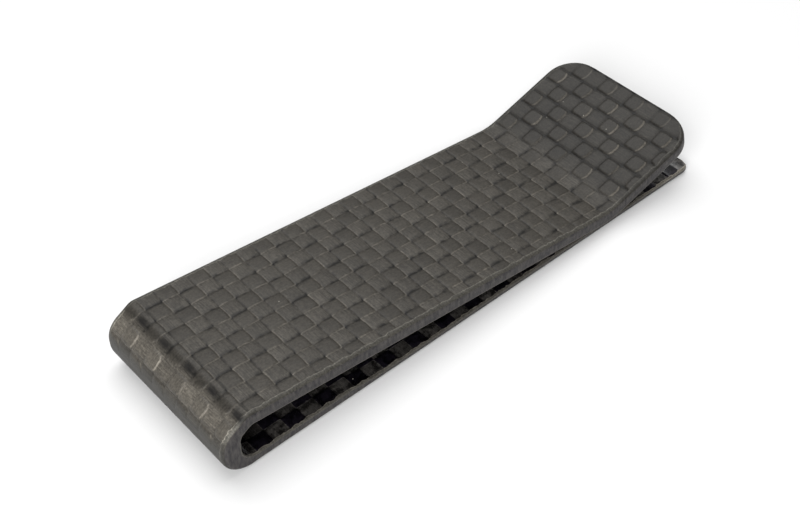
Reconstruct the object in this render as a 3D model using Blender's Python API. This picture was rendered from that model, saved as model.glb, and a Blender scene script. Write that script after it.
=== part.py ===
"""A money clip: one strip of moulded carbon-fibre laminate folded into a spring clip.

The strip lies along X and is WIDTH wide along Y. From the right it runs along the ground as
the lower leaf, turns up round the end bend on the left, comes back to the right as the
sloping upper leaf, touches down on the lower leaf at the crease and flares up as the lip.

The laminate is a stack of plies. A ply that runs all the way is one object in the lower leaf,
one in the end bend and one in the spring arm, because the arm turns when the clip opens.
"""

import math

import bmesh
import bpy
from mathutils import Vector

# Overall sizes, in metres.
LENGTH = 0.0760
WIDTH = 0.0220
LIP_WIDTH = 0.0228  # the upper leaf widens slightly towards the lip
PLY = 0.00024  # cured thickness of one woven ply
RESIN_LINE = 0.00002  # clear line left between two plies
BODY_GAP = 0.00030  # clear line between two neighbouring stretches of one ply

# Plies in each stretch of the strip.
ARM_PLIES = 7
ROOT_PLIES = 6  # lower leaf beside the bend
TIP_PLIES = 4  # lower leaf from the ply drops to its tip
WALL_THICKNESS = 10 * PLY  # seven plies and three doublers

# Outer face of the bend, as corners that are then rounded. Heights are above the ground.
WALL_X = -LENGTH / 2
HEEL_RADIUS = 0.0035
SHOULDER_HEIGHT = 0.00605
SHOULDER_RADIUS = 0.0032
BROW_X = WALL_X + 0.00349
BROW_HEIGHT = 0.00814
BROW_RADIUS = 0.0015

# Inner face of the bend.
SLOT_END_X = WALL_X + WALL_THICKNESS
SLOT_HEEL_RADIUS = 0.0019
SLOT_SHOULDER_HEIGHT = 0.00545
SLOT_SHOULDER_RADIUS = 0.0011
SLOT_BROW_X = WALL_X + 0.00390
SLOT_BROW_RADIUS = 0.0010

# Upper leaf and lip.
CREASE_X = WALL_X + 0.06002
CREASE_HEIGHT = 0.00256
CREASE_RADIUS = 0.0080
LIP_END_X = WALL_X + 0.07545
LIP_END_HEIGHT = 0.00738
LIP_CORNER_RADIUS = 0.0042

# Lower leaf.
TIP_CORNER_RADIUS = 0.0011
FIRST_DROP_X = WALL_X + 0.0178  # fifth ply ends here
SECOND_DROP_X = WALL_X + 0.0198  # fourth ply ends here
DROP_RAMP = 0.0008

# Where the strip is divided into its three stretches.
HEEL_JOIN_X = WALL_X + 0.0048
ARM_JOIN_X = WALL_X + 0.0048

ARRIS = 0.00012  # how far the rubbed-down edge of a face ply stands back
HINGE = Vector((WALL_X + 0.0030, 0.0, 0.0041))  # centre of the bend, on the flex axis


def clear_scene():
    for obj in list(bpy.data.objects):
        bpy.data.objects.remove(obj, do_unlink=True)


def laminate_material(name, colour, roughness):
    material = bpy.data.materials.new(name)
    material.use_nodes = True
    shader = material.node_tree.nodes["Principled BSDF"]
    shader.inputs["Base Color"].default_value = (*colour, 1.0)
    shader.inputs["Roughness"].default_value = roughness
    shader.inputs["Metallic"].default_value = 0.0
    material.diffuse_color = (*colour, 1.0)
    return material


def point(x, z):
    return Vector((x, 0.0, z))


def rounded_corner(before, corner, after, radius, steps):
    """Points of the arc that rounds a corner, from its first tangent point to its last."""
    towards = (before - corner).normalized()
    away = (after - corner).normalized()
    half = towards.angle(away) / 2
    reach = radius / math.tan(half)
    middle = (towards + away).normalized()
    centre = corner + middle * (radius / math.sin(half))
    first = (corner + towards * reach - centre).normalized()
    last = (corner + away * reach - centre).normalized()
    return [centre + first.slerp(last, i / steps) * radius for i in range(steps + 1)]


def corner_distances(radius, steps):
    """Distances from a strip's end at which its rounded plan corner is sampled."""
    angles = [math.pi / 2 * i / steps for i in range(steps + 1)]
    return [radius * (1 - math.cos(angle)) for angle in angles]


def corner_inset(distance, radius):
    """How far a rounded plan corner stands back from the side, at a distance from the end."""
    if distance >= radius:
        return 0.0
    return radius - math.sqrt(radius**2 - (radius - distance) ** 2)


def lower_leaf_sections():
    """Sections (outer point, inner point, half width) from the tip to the heel join."""
    tip = LENGTH / 2
    tip_thickness = TIP_PLIES * PLY
    root_thickness = ROOT_PLIES * PLY
    sections = []
    for distance in corner_distances(TIP_CORNER_RADIUS, 5):
        width = WIDTH / 2 - corner_inset(distance, TIP_CORNER_RADIUS)
        sections.append((point(tip - distance, 0), point(tip - distance, tip_thickness), width))
    heights = [
        (SECOND_DROP_X + DROP_RAMP, tip_thickness),
        (SECOND_DROP_X, tip_thickness + PLY),
        (FIRST_DROP_X + DROP_RAMP, tip_thickness + PLY),
        (FIRST_DROP_X, root_thickness),
        (HEEL_JOIN_X + BODY_GAP / 2, root_thickness),
    ]
    for x, height in heights:
        sections.append((point(x, 0), point(x, height), WIDTH / 2))
    return sections


def bend_sections():
    """Sections round the end bend, from the heel join to the arm join."""
    root_thickness = ROOT_PLIES * PLY
    arm_thickness = ARM_PLIES * PLY
    brow = point(BROW_X, BROW_HEIGHT)
    crease = point(CREASE_X, CREASE_HEIGHT)
    slope = (crease - brow).normalized()
    inward = Vector((slope.z, 0, -slope.x))
    join_x = HEEL_JOIN_X - BODY_GAP / 2
    outer_join = brow + slope * ((ARM_JOIN_X - BODY_GAP / 2 - BROW_X) / slope.x)
    inner_join = outer_join + inward * arm_thickness
    slot_brow = inner_join + slope * ((SLOT_BROW_X - inner_join.x) / slope.x)

    heel = point(WALL_X, 0)
    shoulder = point(WALL_X, SHOULDER_HEIGHT)
    slot_heel = point(SLOT_END_X, root_thickness)
    slot_shoulder = point(SLOT_END_X, SLOT_SHOULDER_HEIGHT)

    outer = [point(join_x, 0)]
    outer += rounded_corner(point(join_x, 0), heel, shoulder, HEEL_RADIUS, 12)
    outer += rounded_corner(heel, shoulder, brow, SHOULDER_RADIUS, 8)
    outer += rounded_corner(shoulder, brow, crease, BROW_RADIUS, 5)
    outer += [outer_join]
    inner = [point(join_x, root_thickness)]
    inner += rounded_corner(inner[0], slot_heel, slot_shoulder, SLOT_HEEL_RADIUS, 12)
    inner += rounded_corner(slot_heel, slot_shoulder, slot_brow, SLOT_SHOULDER_RADIUS, 8)
    inner += rounded_corner(slot_shoulder, slot_brow, inner_join, SLOT_BROW_RADIUS, 5)
    inner += [inner_join]
    return [(a, b, WIDTH / 2) for a, b in zip(outer, inner)]


def arm_half_width(x):
    """Half the width of the upper leaf and the lip at x."""
    share = (x - ARM_JOIN_X) / (LIP_END_X - ARM_JOIN_X)
    return (WIDTH + (LIP_WIDTH - WIDTH) * max(share, 0.0)) / 2


def arm_sections():
    """Sections of the upper leaf and the lip, from the arm join to the lip's end."""
    thickness = ARM_PLIES * PLY
    brow = point(BROW_X, BROW_HEIGHT)
    crease = point(CREASE_X, CREASE_HEIGHT)
    lip_end = point(LIP_END_X, LIP_END_HEIGHT)
    slope = (crease - brow).normalized()
    rise = (lip_end - crease).normalized()
    start = brow + slope * ((ARM_JOIN_X + BODY_GAP / 2 - BROW_X) / slope.x)
    under_slope = Vector((slope.z, 0, -slope.x))
    under_rise = Vector((rise.z, 0, -rise.x))

    sections = [(start, start + under_slope * thickness, WIDTH / 2)]
    arc = rounded_corner(brow, crease, lip_end, CREASE_RADIUS, 6)
    for i, outer in enumerate(arc):
        down = under_slope.slerp(under_rise, i / (len(arc) - 1))
        sections.append((outer, outer + down * thickness, arm_half_width(outer.x)))
    for distance in reversed(corner_distances(LIP_CORNER_RADIUS, 8)):
        outer = lip_end - rise * distance
        width = arm_half_width(outer.x) - corner_inset(distance, LIP_CORNER_RADIUS)
        sections.append((outer, outer + under_rise * thickness, width))
    return sections


def ply_object(name, sections, span, material, parent, faced=False):
    """One stretch of a ply: a flat strip, thickened, then laid along the sections.

    span gives, for a section's thickness, how deep the ply's outer and inner faces lie.
    """
    origin = parent.location if parent else Vector()
    last = len(sections) - 1
    mesh = bpy.data.meshes.new(name)
    strip = bmesh.new()
    corners = [strip.verts.new((0, y, 0)) for y in (-1, 1)]
    front = strip.edges.new(corners)
    for i in range(last):
        grown = bmesh.ops.extrude_edge_only(strip, edges=[front])["geom"]
        moved = [item for item in grown if isinstance(item, bmesh.types.BMVert)]
        bmesh.ops.translate(strip, verts=moved, vec=(1, 0, 0))
        front = strip.edges.get(moved)
    grown = bmesh.ops.extrude_face_region(strip, geom=list(strip.faces))["geom"]
    raised = [item for item in grown if isinstance(item, bmesh.types.BMVert)]
    bmesh.ops.translate(strip, verts=raised, vec=(0, 0, 1))
    bmesh.ops.recalc_face_normals(strip, faces=list(strip.faces))
    for vertex in strip.verts:
        outer, inner, width = sections[round(vertex.co.x)]
        thickness = (inner - outer).length
        top, bottom = span(thickness)
        depth = bottom if vertex.co.z > 0.5 else top
        side = math.copysign(width - (ARRIS if faced else 0.0), vertex.co.y)
        place = outer.lerp(inner, depth / thickness)
        vertex.co = Vector((place.x, side, place.z)) - origin
    if strip.calc_volume(signed=True) < 0:
        bmesh.ops.reverse_faces(strip, faces=list(strip.faces))
    strip.to_mesh(mesh)
    strip.free()
    mesh.shade_smooth()
    mesh.set_sharp_from_angle(angle=math.radians(30))
    mesh.materials.append(material)
    obj = bpy.data.objects.new(name, mesh)
    bpy.context.scene.collection.objects.link(obj)
    obj.parent = parent
    return obj


def outer_ply(number):
    """Span of a ply counted from the outer face, with a resin line on its inner side."""
    start = (number - 1) * PLY + (RESIN_LINE / 2 if number > 1 else 0.0)
    end = number * PLY - RESIN_LINE / 2
    return lambda thickness: (start, end)


def inner_face_ply(thickness):
    """Span of the ply that lines the slot, always the last one of the stack."""
    return thickness - PLY + RESIN_LINE / 2, thickness


def gusset_ply(thickness):
    """Span of the sixth ply in the bend, which swells from the heel join upwards."""
    room = min(PLY, thickness - ROOT_PLIES * PLY)
    return thickness - PLY - room + RESIN_LINE / 2, thickness - PLY - RESIN_LINE / 2


def doubler(number):
    """Span of one of the three short plies that thicken the end wall."""

    def span(thickness):
        share = (thickness - ARM_PLIES * PLY) / 3
        start = (ARM_PLIES - 2) * PLY + (number - 1) * share
        return start + RESIN_LINE / 2, start + share - RESIN_LINE / 2

    return span


def left_of(sections, x):
    """The run of sections from a ply's end at x to the heel join."""
    return [s for s in sections if s[0].x < x + DROP_RAMP / 2]


def thick_enough(sections, thickness):
    """The run of sections that are thicker than this."""
    return [s for s in sections if (s[1] - s[0]).length > thickness]


def empty_at(name, place):
    obj = bpy.data.objects.new(name, None)
    obj.location = place
    obj.empty_display_size = 0.005
    bpy.context.scene.collection.objects.link(obj)
    return obj


def build():
    clear_scene()
    woven = laminate_material("carbon laminate, rubbed satin", (0.085, 0.082, 0.074), 0.42)
    core = laminate_material("carbon laminate, cut edge", (0.065, 0.063, 0.058), 0.5)
    lining = laminate_material("carbon laminate, moulded gloss", (0.012, 0.012, 0.014), 0.15)
    base = empty_at("base_frame", (0, 0, 0))
    hinge = empty_at("arm_flex_axis", HINGE)

    lower = lower_leaf_sections()
    to_second = left_of(lower, SECOND_DROP_X)
    to_first = left_of(lower, FIRST_DROP_X)
    bend = bend_sections()
    arm = arm_sections()
    gusset_run = thick_enough(bend, ROOT_PLIES * PLY + 0.00008)
    doubled_run = thick_enough(bend, ARM_PLIES * PLY + 0.00024)

    ply_object("lower_leaf_outer_face_ply", lower, outer_ply(1), woven, base, True)
    ply_object("lower_leaf_core_ply_2", lower, outer_ply(2), core, base)
    ply_object("lower_leaf_core_ply_3", lower, outer_ply(3), core, base)
    ply_object("lower_leaf_drop_ply_4", to_second, outer_ply(4), core, base)
    ply_object("lower_leaf_drop_ply_5", to_first, outer_ply(5), core, base)
    ply_object("lower_leaf_inner_face_ply", lower, inner_face_ply, lining, base, True)

    ply_object("bend_outer_face_ply", bend, outer_ply(1), woven, base, True)
    for number in range(2, ARM_PLIES - 1):
        ply_object(f"bend_core_ply_{number}", bend, outer_ply(number), core, base)
    for number in (1, 2, 3):
        ply_object(f"bend_doubler_ply_{number}", doubled_run, doubler(number), core, base)
    ply_object("bend_gusset_ply_6", gusset_run, gusset_ply, core, base)
    ply_object("bend_inner_face_ply", bend, inner_face_ply, lining, base, True)

    ply_object("arm_outer_face_ply", arm, outer_ply(1), woven, hinge, True)
    for number in range(2, ARM_PLIES):
        ply_object(f"arm_core_ply_{number}", arm, outer_ply(number), core, hinge)
    ply_object("arm_inner_face_ply", arm, inner_face_ply, lining, hinge, True)


build()
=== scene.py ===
# %% [markdown]
# # A money clip folded from carbon-fibre laminate
# The clip is one strip of woven carbon fibre and epoxy, cured round a former. It could be shown as
# one thick bent plate, but a real laminate is a stack of plies, and its cut edges show them. Here
# each ply is a piece of its own, so the edges, the woven faces and the glossy slot come out right.

import math

import bpy
import numpy as np
from mathutils import Matrix, Vector


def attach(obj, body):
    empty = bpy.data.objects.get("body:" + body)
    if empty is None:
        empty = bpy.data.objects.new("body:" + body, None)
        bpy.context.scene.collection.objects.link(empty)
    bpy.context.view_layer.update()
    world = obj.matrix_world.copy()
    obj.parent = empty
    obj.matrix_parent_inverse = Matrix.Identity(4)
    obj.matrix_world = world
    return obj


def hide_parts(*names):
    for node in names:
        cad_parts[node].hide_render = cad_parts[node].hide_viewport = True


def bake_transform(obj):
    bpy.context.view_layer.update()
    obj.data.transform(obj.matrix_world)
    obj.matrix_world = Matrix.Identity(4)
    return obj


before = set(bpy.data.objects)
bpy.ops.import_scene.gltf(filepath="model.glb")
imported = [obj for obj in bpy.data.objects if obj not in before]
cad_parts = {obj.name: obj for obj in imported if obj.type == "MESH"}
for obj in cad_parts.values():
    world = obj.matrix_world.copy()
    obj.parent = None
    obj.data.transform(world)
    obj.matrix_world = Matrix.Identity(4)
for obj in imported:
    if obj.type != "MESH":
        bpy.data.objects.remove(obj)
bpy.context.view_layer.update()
MM = 0.001
print("plies in the frame:", len(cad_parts))

# %% [markdown]
# ## Sizes
# A laminate is described by its ply thickness and by where plies start and stop. Every length below
# is in millimetres, because a maker would read them off a drawing that way. They repeat the solid
# model's own sizes, so each piece lies exactly where its ply lies.

# %% Sizes of the strip
PLY = 0.24
ARM_PLIES = 7
ROOT_PLIES = 6
TIP_PLIES = 4
WIDTH = 22.0
LIP_WIDTH = 22.8
WALL_X = -38.0
TIP_X = 38.0
HEEL_RADIUS = 3.5
SHOULDER_HEIGHT, SHOULDER_RADIUS = 6.05, 3.2
BROW_X, BROW_HEIGHT, BROW_RADIUS = WALL_X + 3.49, 8.14, 1.5
SLOT_END_X, SLOT_HEEL_RADIUS = WALL_X + 10 * PLY, 1.9
SLOT_SHOULDER_HEIGHT, SLOT_SHOULDER_RADIUS = 5.45, 1.1
SLOT_BROW_X, SLOT_BROW_RADIUS = WALL_X + 3.90, 1.0
CREASE_X, CREASE_HEIGHT, CREASE_RADIUS = WALL_X + 60.02, 2.56, 8.0
LIP_END_X, LIP_END_HEIGHT, LIP_CORNER_RADIUS = WALL_X + 75.45, 7.38, 4.2
TIP_CORNER_RADIUS = 1.1
FIRST_DROP_X, SECOND_DROP_X, DROP_RAMP = WALL_X + 17.8, WALL_X + 19.8, 0.8
JOIN_X = WALL_X + 4.8
print("strip:", TIP_X - WALL_X, "mm long,", WIDTH, "to", LIP_WIDTH, "mm wide")

# %% [markdown]
# ## The path of the strip
# Seen from the side, the strip is a line that runs along the ground, turns up round the end bend
# and comes back. It could be drawn as a curve object, but two matched lines, one for the outer face
# and one for the inner, also give the thickness, which changes round the bend. Each line is made of
# straights and rounded corners.


# %% Straights and rounded corners
def straight(start, end, count):
    """Evenly spaced points: start plus a share of the way to the end, without the end itself."""
    share = np.linspace(0, 1, count, endpoint=False)[:, None]
    return np.asarray(start) + (np.asarray(end) - np.asarray(start)) * share


def corner_arc(before, corner, after, radius, count):
    """Arc that rounds a corner. It touches each side at radius / tan(half angle) from the corner.
    Its centre is on the bisector at radius / sin(half angle), and the angle grows evenly."""
    before, corner, after = (np.asarray(p, float) for p in (before, corner, after))
    towards = (before - corner) / np.linalg.norm(before - corner)
    away = (after - corner) / np.linalg.norm(after - corner)
    half = math.acos(float(towards @ away)) / 2
    middle = (towards + away) / np.linalg.norm(towards + away)
    centre = corner + middle * radius / math.sin(half)
    first = corner + towards * radius / math.tan(half) - centre
    last = corner + away * radius / math.tan(half) - centre
    sweep = math.acos(float(np.clip(first @ last / radius**2, -1, 1)))
    turn = np.linspace(0, sweep, count)[:, None]
    return centre + (first * np.sin(sweep - turn) + last * np.sin(turn)) / math.sin(sweep)


def run_of(corners, radii, count):
    """A line through corners: straights and arcs in turn, each with the same number of points."""
    arcs = [
        corner_arc(a, b, c, r, count)
        for a, b, c, r in zip(corners[:-2], corners[1:-1], corners[2:], radii)
    ]
    parts, here = [], np.asarray(corners[0], float)
    for arc in arcs:
        parts += [straight(here, arc[0], count), arc[:-1]]
        here = arc[-1]
    return np.concatenate([*parts, straight(here, corners[-1], count), [corners[-1]]])


def length_along(line):
    """Distance travelled along a line of points, from its first one."""
    steps = np.linalg.norm(np.diff(line, axis=0), axis=1)
    return np.concatenate([[0], np.cumsum(steps)])


quarter_turn = corner_arc((0, 1), (0, 0), (1, 0), 1, 40)
print("length of a quarter turn of 1 mm:", round(float(length_along(quarter_turn)[-1]), 3))

# %% [markdown]
# ## Three stretches
# The arm turns on the bend when the clip opens, so the strip is made in three stretches: lower
# leaf, end bend and arm. Each keeps the outer line, the inner line and the half width. The two
# lines of a stretch have the same number of points, which pairs them across the thickness.

# %% Outer and inner lines of each stretch
STEPS = 40
BROW = np.array([BROW_X, BROW_HEIGHT])
CREASE = np.array([CREASE_X, CREASE_HEIGHT])
LIP_END = np.array([LIP_END_X, LIP_END_HEIGHT])
LEAF_SLOPE = (CREASE - BROW) / np.linalg.norm(CREASE - BROW)
LIP_SLOPE = (LIP_END - CREASE) / np.linalg.norm(LIP_END - CREASE)
ARM_THICKNESS = ARM_PLIES * PLY
ROOT_THICKNESS = ROOT_PLIES * PLY
UNDER_LEAF = np.array([LEAF_SLOPE[1], -LEAF_SLOPE[0]])
ARM_JOIN = BROW + LEAF_SLOPE * (JOIN_X - BROW_X) / LEAF_SLOPE[0]
ARM_JOIN_UNDER = ARM_JOIN + UNDER_LEAF * ARM_THICKNESS
SLOT_BROW = ARM_JOIN_UNDER + LEAF_SLOPE * (SLOT_BROW_X - ARM_JOIN_UNDER[0]) / LEAF_SLOPE[0]


def normals_of(line):
    """Unit normal of a line, on the left of the way it runs: the tangent turned by a quarter."""
    tangent = np.gradient(line, axis=0)
    tangent /= np.linalg.norm(tangent, axis=1)[:, None]
    return np.stack([-tangent[:, 1], tangent[:, 0]], axis=1)


def corner_inset(distance, radius):
    """How far a rounded plan corner stands back from the side, at a distance from the end."""
    lack = np.clip(radius - distance, 0, radius)
    return radius - np.sqrt(radius**2 - lack**2)


def end_spaced(length, radius, count):
    """Distances from an end: close together round its corner, then even."""
    angles = np.linspace(0, math.pi / 2, 12, endpoint=False)
    return np.concatenate([radius * (1 - np.cos(angles)), np.linspace(radius, length, count)])


def bend_stretch():
    """End bend: heel, wall, shoulder and brow outside; the slot's rounded end inside."""
    outer = run_of(
        [(JOIN_X, 0), (WALL_X, 0), (WALL_X, SHOULDER_HEIGHT), BROW, ARM_JOIN],
        [HEEL_RADIUS, SHOULDER_RADIUS, BROW_RADIUS],
        STEPS,
    )
    inner = run_of(
        [
            (JOIN_X, ROOT_THICKNESS),
            (SLOT_END_X, ROOT_THICKNESS),
            (SLOT_END_X, SLOT_SHOULDER_HEIGHT),
            SLOT_BROW,
            ARM_JOIN_UNDER,
        ],
        [SLOT_HEEL_RADIUS, SLOT_SHOULDER_RADIUS, SLOT_BROW_RADIUS],
        STEPS,
    )
    return {"outer": outer, "inner": inner, "half": np.full(len(outer), WIDTH / 2)}


def arm_stretch():
    """Upper leaf and lip: a straight, the crease and a straight, one thickness deep all along."""
    outer = run_of([ARM_JOIN, CREASE, LIP_END], [CREASE_RADIUS], 6 * STEPS)
    inner = outer - normals_of(outer) * ARM_THICKNESS
    share = (outer[:, 0] - JOIN_X) / (LIP_END_X - JOIN_X)
    half = (WIDTH + (LIP_WIDTH - WIDTH) * share) / 2
    from_end = length_along(outer)[-1] - length_along(outer)
    return {
        "outer": outer,
        "inner": inner,
        "half": half - corner_inset(from_end, LIP_CORNER_RADIUS),
        "full": half,
    }


def lower_stretch():
    """Lower leaf: flat underneath, and one ply thinner above at each of its two ply drops."""
    x = TIP_X - end_spaced(TIP_X - JOIN_X, TIP_CORNER_RADIUS, 600)
    first, second = FIRST_DROP_X, SECOND_DROP_X
    marks = [JOIN_X, first, first + DROP_RAMP, second, second + DROP_RAMP, TIP_X]
    plies = [ROOT_PLIES, ROOT_PLIES, TIP_PLIES + 1, TIP_PLIES + 1, TIP_PLIES, TIP_PLIES]
    height = np.interp(x, marks, np.array(plies) * PLY)
    half = np.full(len(x), WIDTH / 2)
    return {
        "outer": np.stack([x, 0 * x], axis=1),
        "inner": np.stack([x, height], axis=1),
        "half": half - corner_inset(TIP_X - x, TIP_CORNER_RADIUS),
        "full": half,
    }


STRETCHES = {"lower_leaf": lower_stretch(), "bend": bend_stretch(), "arm": arm_stretch()}
for stretch_name, stretch in STRETCHES.items():
    stretch.setdefault("full", stretch["half"])
    outer_length = float(length_along(stretch["outer"])[-1])
    print(stretch_name, "is", round(outer_length, 2), "mm along its outer face")

# %% [markdown]
# ## Tow coordinates
# Plain-woven cloth is a grid of flat tows, each a ribbon of a few thousand filaments. A pattern
# could be laid on with an image, but it would not know the shape. Instead each face gets two
# coordinates that count tows: one along the strip and one across it. A whole number is the middle
# of a tow. The cloth was laid a little open towards the lip, so the spacing grows there.

# %% Counting tows along and across the strip
TOW_PITCH = 2.2546
OPEN_PITCH = 2.365  # spacing along the strip where the cloth opens
OPEN_X = 8.92
FIRST_EDGE_X, FIRST_EDGE = -33.91, 1.5  # an edge between two crossing tows, near the bend
EDGE_ROW_Y, EDGE_ROW = 8.6, 9.5  # an edge between two lengthwise tows, near the far side
ROW_PITCH, ROW_PITCH_GROWTH = 2.185, 0.00174  # at the bend, and growth per millimetre along X


def tows_along_leaf(x):
    """Tow count along the upper leaf: distance over the pitch, with a wider pitch after OPEN_X."""
    close = FIRST_EDGE + (np.minimum(x, OPEN_X) - FIRST_EDGE_X) / TOW_PITCH
    return close + np.maximum(x - OPEN_X, 0) / OPEN_PITCH


def row_pitch(x):
    """Spacing of the lengthwise tows, which fan out slightly towards the lip."""
    return ROW_PITCH + ROW_PITCH_GROWTH * np.clip(x - JOIN_X, 0, None)


def tows_across(x, y):
    """Tow count across the strip, measured from one edge row."""
    return EDGE_ROW + (y - EDGE_ROW_Y) / row_pitch(x)


def give_tows(stretch, name):
    """Adds the tow count to both faces of a stretch. It runs on unbroken from leaf to bend."""
    for face in ("outer", "inner"):
        if name == "arm":
            stretch[face + "_tow"] = tows_along_leaf(stretch["outer"][:, 0])
            continue
        travelled = length_along(stretch[face])
        at_join = tows_along_leaf(JOIN_X) if name == "bend" else STRETCHES["bend"][face + "_tow"][0]
        stretch[face + "_tow"] = at_join - (travelled[-1] - travelled) / TOW_PITCH


for stretch_name in ("arm", "bend", "lower_leaf"):
    give_tows(STRETCHES[stretch_name], stretch_name)
print("tows along the arm:", round(float(np.ptp(STRETCHES["arm"]["outer_tow"])), 1))

# %% [markdown]
# ## Relief of the weave
# Where a tow passes over another it stands up as a low cushion, and where it dives it leaves a
# valley. On the flat leaf the face was rubbed down, so the cushions are almost level and only
# narrow seams are left. On the lip the cloth kept its full height. A bump map could fake it, but
# real relief also shows at the rim and from low angles, so the mesh carries it.


# %% Height of a woven face at a tow count
def smooth(x, low, high):
    """0 below low, 1 above high, and 3t^2 - 2t^3 of the share in between."""
    t = np.clip((x - low) / (high - low), 0, 1)
    return t * t * (3 - 2 * t)


def tile_noise(n, m, seed):
    """A fixed pseudo-random number from 0 to 1 for each crossing: the fraction of a large sine."""
    value = np.sin(n * 12.9898 + m * 78.233 + seed * 37.719) * 43758.5453
    return value - np.floor(value)


TILE_TILT, TILE_LEVEL = 0.026, 0.008  # mm by which tiles differ, since cloth is never quite even


def weave_height(u, v, raise_by, crown, valley, softness):
    """Height in mm of a woven face. Each tow is crowned across its width, by the square of the
    distance from its middle line, and arches along its length, by the fourth power. A lengthwise
    tow also stands up as a rounded square, whose rim is the fourth root of the summed fourth
    powers of both distances. Each tile is tilted a little, by a fixed amount."""
    n, m = np.round(u), np.round(v)
    along, across = np.abs(2 * (u - n)), np.abs(2 * (v - m))
    lengthwise = np.mod(n + m, 2)
    rim = (along**4 + across**4) ** 0.25
    top = raise_by * lengthwise * (1 - smooth(rim, 1 - softness, 1.0))
    bow = np.where(lengthwise > 0.5, across**2 + along**4, along**2 + across**4)
    dive = valley * smooth(along, 1 - 1.6 * softness, 1.0)
    tilt_u = (tile_noise(n, m, 1) - 0.5) * (u - n) * (1 - along**6)
    tilt_v = (tile_noise(n, m, 2) - 0.5) * (v - m) * (1 - across**6)
    level = (tile_noise(n, m, 3) - 0.5) * (1 - smooth(rim, 1 - softness, 1.0))
    return top - crown * bow - dive + (tilt_u + tilt_v) * TILE_TILT + level * TILE_LEVEL


def wander(u, v):
    """How far a tow strays from its straight line, in tows: two slow sine waves over the cloth."""
    return 0.030 * np.sin(1.3 * u + 0.9 * v) + 0.022 * np.sin(0.7 * u - 1.9 * v + 1.0)


across_a_tile = weave_height(np.linspace(0.5, 1.5, 41), np.zeros(41), 0.070, 0.035, 0.040, 0.16)
print("height of a raised tile above its seams:", round(float(np.ptp(across_a_tile)), 3), "mm")

# %% [markdown]
# ## One ply as a closed slab
# A ply follows the strip at a fixed depth. Its cross-section is a long thin loop: over the face,
# down the cut edge, back underneath. Carrying that loop along the path gives a closed surface with
# one formula for all plies. The cut edges were rounded with abrasive paper, so the loop stands back
# near the two faces, and a shallow groove marks the resin line between plies.

# %% Cross-section of the stack
OUTER_ARRIS, INNER_ARRIS = 0.55, 0.25  # radii of the rubbed-down edges
RESIN_GROOVE = 0.018
TILE_SAMPLES = np.array([-0.5, -0.47, -0.43, -0.36, -0.25, -0.09, 0.09, 0.25, 0.36, 0.43, 0.47])


def side_inset(depth, thickness):
    """How far the cut edge stands back at a depth: a quarter circle at each of the two faces."""
    outer = np.clip(OUTER_ARRIS - depth, 0, OUTER_ARRIS)
    inner = np.clip(INNER_ARRIS - (thickness - depth), 0, INNER_ARRIS)
    return (OUTER_ARRIS - np.sqrt(OUTER_ARRIS**2 - outer**2)) + (
        INNER_ARRIS - np.sqrt(INNER_ARRIS**2 - inner**2)
    )


def tow_samples(low, high):
    """Sample positions between two tow counts, closer together at the edges of each tow."""
    tiles = np.arange(math.floor(low) - 1, math.ceil(high) + 2)
    places = (tiles[:, None] + TILE_SAMPLES[None, :]).ravel()
    inside = places[(places > low + 0.02) & (places < high - 0.02)]
    return np.concatenate([[low], inside, [high]])


def stations_of(stretch, face, fine):
    """The stretch resampled along its length, at tow samples of one face or evenly."""
    tow = stretch[face + "_tow"]
    wanted = tow_samples(tow[0], tow[-1]) if fine else tow[:: max(1, len(tow) // 160)]
    wanted = np.append(wanted[wanted < tow[-1]], tow[-1])
    place = np.interp(wanted, tow, np.arange(len(tow)))
    index = np.arange(len(tow))
    out = {}
    for key, value in stretch.items():
        columns = value if value.ndim == 2 else value[:, None]
        sampled = np.stack([np.interp(place, index, c) for c in columns.T], axis=1)
        out[key] = sampled if value.ndim == 2 else sampled[:, 0]
    return out


print("stations on the arm:", len(stations_of(STRETCHES["arm"], "outer", True)["half"]))

# %% [markdown]
# ## Mesh from a grid
# numpy works out all points at once. The grid closes on itself round the loop, and a cap closes
# each end. Tow counts, the wear of each point and its painted light and shade are stored as
# attributes, so that the materials can draw filaments that follow the cloth round the bend.


# %% Grid to mesh
SHARP_ANGLE = math.radians(50)


def signed_volume(points, quads):
    """Six times the volume inside a mesh of quads, below zero when it is inside out: the sum of
    the triple products of the two triangles of each quad."""
    a, b, c, d = (points[quads[:, corner]] for corner in range(4))
    return float((a * np.cross(b - a, c - a)).sum() + (a * np.cross(c - a, d - a)).sum())


def loop_mesh(name, points, attributes):
    """Closed surface from a grid of points, stations by loop, with a cap at each end."""
    stations, around = points.shape[:2]
    index = np.arange(stations * around).reshape(stations, around)
    a, b = index[:-1], index[1:]
    quads = np.stack([a, np.roll(a, -1, 1), np.roll(b, -1, 1), b], axis=-1).reshape(-1, 4)
    faces = [*quads.tolist(), index[0][::-1].tolist(), index[-1].tolist()]
    mesh = bpy.data.meshes.new(name)
    mesh.from_pydata((points.reshape(-1, 3) * MM).tolist(), [], faces)
    for label, values in attributes.items():
        attribute = mesh.attributes.new(label, "FLOAT_VECTOR", "POINT")
        attribute.data.foreach_set("vector", values.reshape(-1).astype(np.float32))
    if signed_volume(points.reshape(-1, 3), quads) < 0:
        mesh.flip_normals()
    mesh.shade_smooth()
    mesh.set_sharp_from_angle(angle=SHARP_ANGLE)
    mesh.update()
    obj = bpy.data.objects.new(name, mesh)
    bpy.context.scene.collection.objects.link(obj)
    return obj


print("edges sharper than", round(math.degrees(SHARP_ANGLE)), "degrees stay sharp")

# %% [markdown]
# ## Wear of the outer face
# The outer face was rubbed down by hand after moulding. It is level on the leaf and worn away on
# the end wall, but the paper hardly reached the lip or the low tiles along the brow. The wear
# could be painted on by eye. Working it out from the shape keeps it in the right place when a
# size changes, and the same relief then serves every stretch.

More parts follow.
